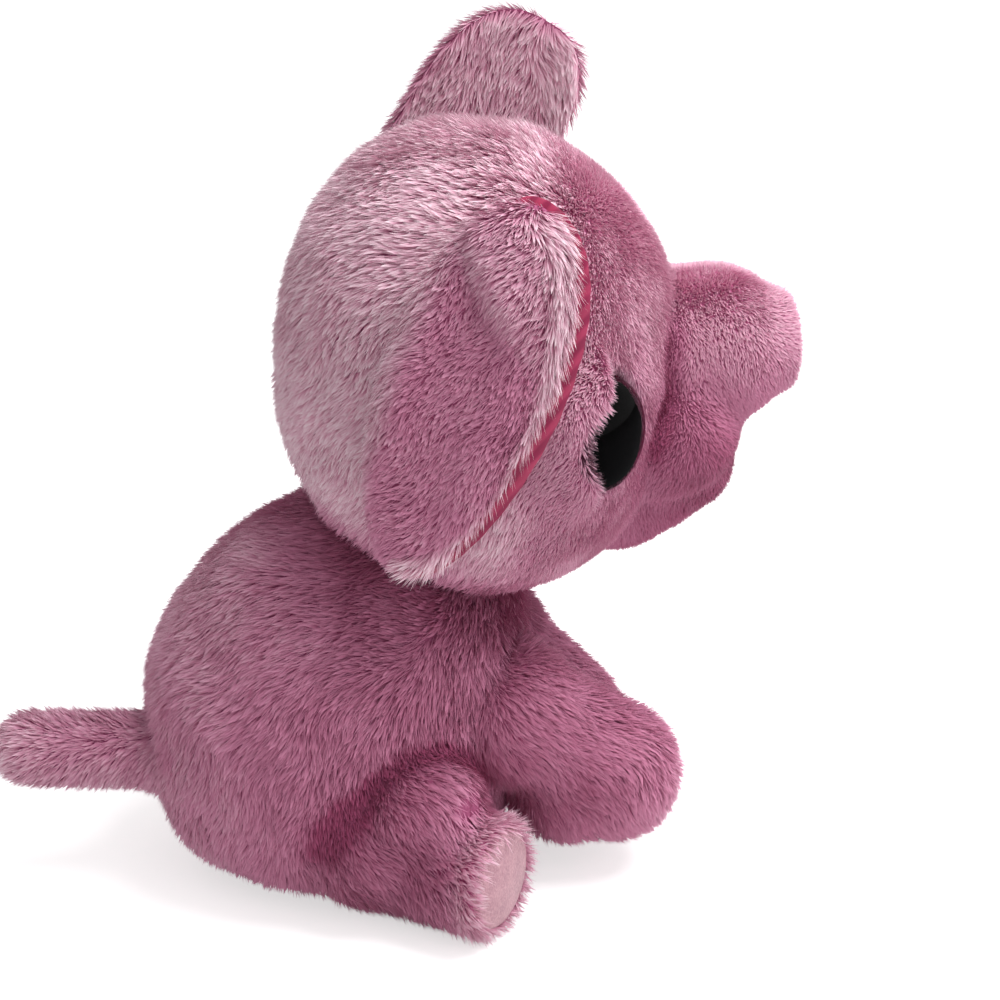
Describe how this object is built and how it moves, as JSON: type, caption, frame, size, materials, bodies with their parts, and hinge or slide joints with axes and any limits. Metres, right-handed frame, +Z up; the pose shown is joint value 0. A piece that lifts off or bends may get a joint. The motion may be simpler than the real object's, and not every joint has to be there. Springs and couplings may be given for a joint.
{
  "type": "stuffed animal",
  "caption": "Seated plush elephant with a round head, floppy lined ears, a short trunk, stub tail and soft jointed limbs; rests on its weighted seat.",
  "frame": {"origin": "middle of the ground that the whole animal covers, on the surface it sits on", "axes": "+Z up, -Y the way the animal looks, +X its left side"},
  "size_m": [0.1582, 0.2484, 0.2496],
  "materials": {
    "plush": "long pile plush, combed, pale tips over pink roots",
    "short_plush": "short dense plush",
    "velour": "brushed velour",
    "satin": "woven satin, smooth",
    "stuffing": "loose polyester fibre",
    "pellet_cloth": "cloth bag of plastic pellets",
    "clear_plastic": "clear moulded plastic, polished",
    "black_plastic": "black moulded plastic, polished",
    "glitter": "dark foil with fine glitter",
    "white_plastic": "moulded lock washer"
  },
  "bodies": {
    "torso": {"torso_cover": "plush", "torso_fill": "stuffing", "pellet_bag": "pellet_cloth"},
    "neck": {"neck_fill": "stuffing"},
    "head": {"head_cover": "plush", "head_fill": "stuffing", "muzzle_cover": "short_plush", "muzzle_fill": "stuffing", "eye_back_right": "black_plastic", "eye_iris_right": "glitter", "eye_pupil_right": "black_plastic", "eye_lens_right": "clear_plastic", "eye_washer_right": "white_plastic", "eye_back_left": "black_plastic", "eye_iris_left": "glitter", "eye_pupil_left": "black_plastic", "eye_lens_left": "clear_plastic", "eye_washer_left": "white_plastic"},
    "trunk": {"trunk_cover": "short_plush", "trunk_fill": "stuffing"},
    "ear_right": {"ear_back_right": "plush", "ear_lining_right": "satin"},
    "front_leg_right": {"front_leg_cover_right": "plush", "front_leg_fill_right": "stuffing"},
    "rear_leg_right": {"rear_leg_cover_right": "plush", "rear_leg_fill_right": "stuffing", "sole_pad_right": "velour"},
    "ear_left": {"ear_back_left": "plush", "ear_lining_left": "satin"},
    "front_leg_left": {"front_leg_cover_left": "plush", "front_leg_fill_left": "stuffing"},
    "rear_leg_left": {"rear_leg_cover_left": "plush", "rear_leg_fill_left": "stuffing", "sole_pad_left": "velour"},
    "tail": {"tail_cover": "plush", "tail_fill": "stuffing"}
  },
  "joints": [
    {"name": "head_turn", "type": "hinge", "parent": "torso", "child": "neck", "pos_m": [0, -0.0056, 0.10958], "axis": [0, -0.3746, 0.9272], "range_deg": [-25, 25], "stiffness_Nm_per_rad": 1.5},
    {"name": "head_nod", "type": "hinge", "parent": "neck", "child": "head", "pos_m": [0, -0.0056, 0.10958], "axis": [1, 0, 0], "range_deg": [-9, 9], "stiffness_Nm_per_rad": 2.5},
    {"name": "trunk_bend", "type": "hinge", "parent": "head", "child": "trunk", "pos_m": [0, -0.1062, 0.16232], "axis": [1, 0, 0], "range_deg": [-12, 12], "stiffness_Nm_per_rad": 0.1},
    {"name": "ear_fold_right", "type": "hinge", "parent": "head", "child": "ear_right", "pos_m": [-0.06002, 0.00256, 0.1813], "axis": [0, -0.3584, 0.9336], "range_deg": [-18, 5], "stiffness_Nm_per_rad": 0.1},
    {"name": "ear_fold_left", "type": "hinge", "parent": "head", "child": "ear_left", "pos_m": [0.06002, 0.00256, 0.1813], "axis": [0, -0.515, 0.8572], "range_deg": [-5, 18], "stiffness_Nm_per_rad": 0.1},
    {"name": "front_leg_lift_right", "type": "hinge", "parent": "torso", "child": "front_leg_right", "pos_m": [-0.026, -0.03161, 0.0555], "axis": [1, 0, 0], "range_deg": [-25, 0], "stiffness_Nm_per_rad": 0.25},
    {"name": "front_leg_lift_left", "type": "hinge", "parent": "torso", "child": "front_leg_left", "pos_m": [0.026, -0.03161, 0.0555], "axis": [1, 0, 0], "range_deg": [-25, 0], "stiffness_Nm_per_rad": 0.25},
    {"name": "rear_leg_open_right", "type": "hinge", "parent": "torso", "child": "rear_leg_right", "pos_m": [-0.039, 0.01134, 0.0275], "axis": [0, 0, 1], "range_deg": [-20, 4], "stiffness_Nm_per_rad": 0.3},
    {"name": "rear_leg_open_left", "type": "hinge", "parent": "torso", "child": "rear_leg_left", "pos_m": [0.039, 0.01134, 0.0275], "axis": [0, 0, 1], "range_deg": [-4, 20], "stiffness_Nm_per_rad": 0.3},
    {"name": "tail_swing", "type": "hinge", "parent": "torso", "child": "tail", "pos_m": [0, 0.07547, 0.03968], "axis": [0, 0, 1], "range_deg": [-25, 25], "stiffness_Nm_per_rad": 0.1}
  ]
}
